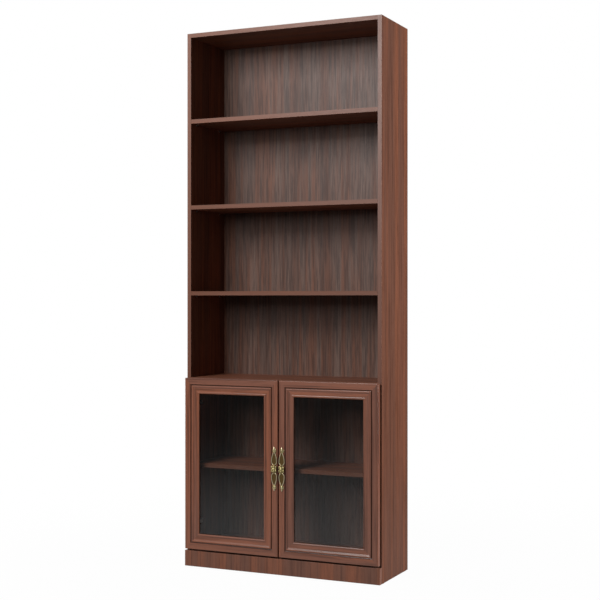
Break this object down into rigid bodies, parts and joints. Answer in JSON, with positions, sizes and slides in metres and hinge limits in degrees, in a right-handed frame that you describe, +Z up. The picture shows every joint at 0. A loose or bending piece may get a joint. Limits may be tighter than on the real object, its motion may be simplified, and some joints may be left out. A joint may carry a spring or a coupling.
{
  "type": "bookcase with glazed cupboard",
  "caption": "Tall freestanding walnut-finish bookcase with open shelves over a cupboard with glazed, moulded-frame doors, cast brass pulls and concealed hinges.",
  "frame": {"origin": "on the floor, under the middle of the whole piece, handles included", "axes": "+Z up, +X to the right seen from the front, the front looks along -Y"},
  "size_m": [0.824, 0.3226, 2.105],
  "materials": {
    "walnut_laminate": "satin walnut laminate on board, straight grain",
    "walnut_edge_band": "thin walnut edge band, satin",
    "walnut_back_sheet": "printed walnut paper on thin fibreboard, matt",
    "walnut_door_frame": "walnut foil wrapped moulding, satin",
    "plain_timber": "bare beech, sanded",
    "clear_glass": "clear float glass, polished",
    "gasket_rubber": "soft black glazing strip",
    "antique_brass": "cast antique brass, dark in the hollows and rubbed bright on the high parts",
    "hinge_steel": "nickel-plated pressed steel",
    "zinc_fittings": "zinc-plated steel",
    "nickel_pins": "nickel-plated steel",
    "dark_plastic": "dark brown moulded plastic",
    "clear_bumper": "soft translucent bumper"
  },
  "bodies": {
    "carcass": {"left_side_panel": "walnut_laminate", "right_side_panel": "walnut_laminate", "top_panel": "walnut_laminate", "bottom_panel": "walnut_laminate", "fixed_shelf": "walnut_laminate", "cupboard_shelf": "walnut_laminate", "lower_shelf": "walnut_laminate", "middle_shelf": "walnut_laminate", "upper_shelf": "walnut_laminate", "side_edge_bands": "walnut_edge_band", "shelf_edge_bands": "walnut_edge_band", "back_panel": "walnut_back_sheet", "back_panel_nails": "zinc_fittings", "plinth_board": "walnut_laminate", "plinth_corner_blocks": "plain_timber", "plinth_block_screws": "zinc_fittings", "floor_glides": "dark_plastic", "carcass_dowels": "plain_timber", "cam_bolts": "zinc_fittings", "cam_locks": "zinc_fittings", "shelf_pins": "nickel_pins", "hinge_arms": "hinge_steel", "hinge_mounting_plates": "hinge_steel", "hinge_plate_screws": "zinc_fittings", "hinge_arm_screws": "zinc_fittings", "hinge_arm_pins": "hinge_steel"},
    "left_outer_links": {"left_hinge_outer_links": "hinge_steel"},
    "left_door": {"left_door_hinge_stile": "walnut_door_frame", "left_door_handle_stile": "walnut_door_frame", "left_door_top_rail": "walnut_door_frame", "left_door_bottom_rail": "walnut_door_frame", "left_door_glass": "clear_glass", "left_door_glazing_gasket": "gasket_rubber", "left_door_corner_dowels": "plain_timber", "left_door_bumpers": "clear_bumper", "left_door_handle": "antique_brass", "left_door_handle_screws": "zinc_fittings", "left_hinge_cups": "hinge_steel", "left_hinge_cup_pins": "hinge_steel", "left_hinge_cup_screws": "zinc_fittings"},
    "left_inner_links": {"left_hinge_inner_links": "hinge_steel"},
    "right_outer_links": {"right_hinge_outer_links": "hinge_steel"},
    "right_door": {"right_door_hinge_stile": "walnut_door_frame", "right_door_handle_stile": "walnut_door_frame", "right_door_top_rail": "walnut_door_frame", "right_door_bottom_rail": "walnut_door_frame", "right_door_glass": "clear_glass", "right_door_glazing_gasket": "gasket_rubber", "right_door_corner_dowels": "plain_timber", "right_door_bumpers": "clear_bumper", "right_door_handle": "antique_brass", "right_door_handle_screws": "zinc_fittings", "right_hinge_cups": "hinge_steel", "right_hinge_cup_pins": "hinge_steel", "right_hinge_cup_screws": "zinc_fittings"},
    "right_inner_links": {"right_hinge_inner_links": "hinge_steel"}
  },
  "joints": [
    {"name": "left_outer_link_swing", "type": "hinge", "parent": "carcass", "child": "left_outer_links", "pos_m": [-0.376, -0.1161, 0.407], "axis": [0, 0, 1], "range_deg": [0, 24.2]},
    {"name": "left_door_swing", "type": "hinge", "parent": "left_outer_links", "child": "left_door", "pos_m": [-0.3988, -0.1285, 0.407], "axis": [0, 0, -1], "range_deg": [0, 119.1]},
    {"name": "left_inner_link_swing", "type": "hinge", "parent": "carcass", "child": "left_inner_links", "pos_m": [-0.3867, -0.1347, 0.407], "axis": [0, 0, 1], "range_deg": [0, 39]},
    {"name": "right_outer_link_swing", "type": "hinge", "parent": "carcass", "child": "right_outer_links", "pos_m": [0.376, -0.1161, 0.407], "axis": [0, 0, -1], "range_deg": [0, 24.2]},
    {"name": "right_door_swing", "type": "hinge", "parent": "right_outer_links", "child": "right_door", "pos_m": [0.3988, -0.1285, 0.407], "axis": [0, 0, 1], "range_deg": [0, 119.1]},
    {"name": "right_inner_link_swing", "type": "hinge", "parent": "carcass", "child": "right_inner_links", "pos_m": [0.3867, -0.1347, 0.407], "axis": [0, 0, -1], "range_deg": [0, 39]}
  ],
  "couplings": [
    {"joint": "left_outer_link_swing", "follows": "left_door_swing", "ratio": 0.20243},
    {"joint": "left_inner_link_swing", "follows": "left_door_swing", "ratio": 0.32591},
    {"joint": "right_outer_link_swing", "follows": "right_door_swing", "ratio": 0.20243},
    {"joint": "right_inner_link_swing", "follows": "right_door_swing", "ratio": 0.32591}
  ]
}
